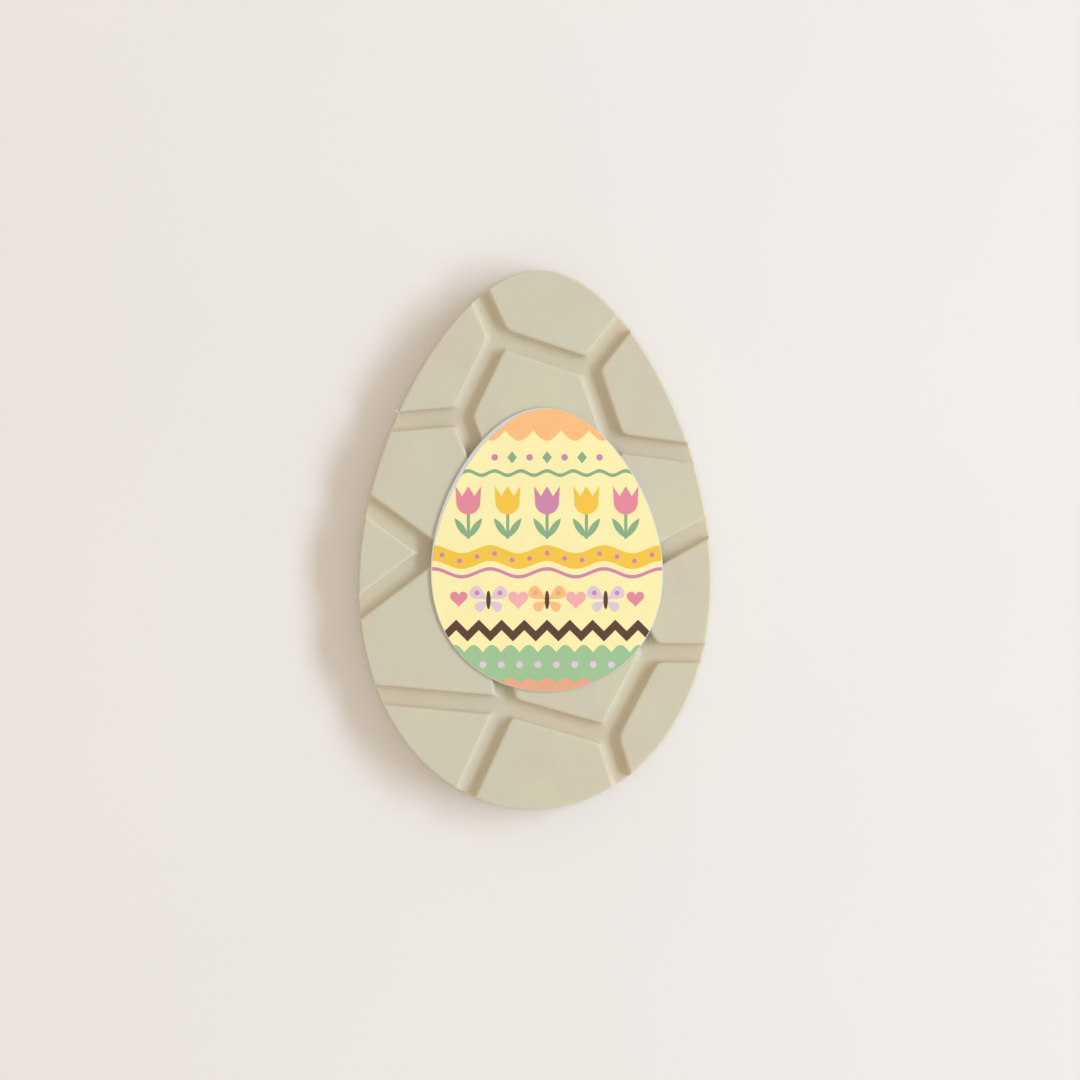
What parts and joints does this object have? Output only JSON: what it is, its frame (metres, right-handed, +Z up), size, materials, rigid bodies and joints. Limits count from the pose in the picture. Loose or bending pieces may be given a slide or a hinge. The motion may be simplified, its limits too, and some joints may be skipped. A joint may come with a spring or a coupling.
{
  "type": "flat white chocolate egg",
  "caption": "Flat egg-shaped tablet of white chocolate, its face split by grooves like a cracked shell, with a thin printed plaque stuck on it.",
  "frame": {"origin": "on the flat back, at the middle of the tablet's length and width", "axes": "+Z up out of the grooved face, +Y along the egg's length towards its narrow end, +X to the right seen from above"},
  "size_m": [0.0822, 0.125, 0.0096],
  "materials": {
    "white_chocolate": "ivory white chocolate, satin where it touched the mould, slightly translucent",
    "printed_icing": "white icing plaque with a matt food-colour print on its face, pale yellow with small coloured motifs"
  },
  "bodies": {
    "root": {"egg_tablet": "white_chocolate", "printed_plaque": "printed_icing"}
  },
  "joints": []
}
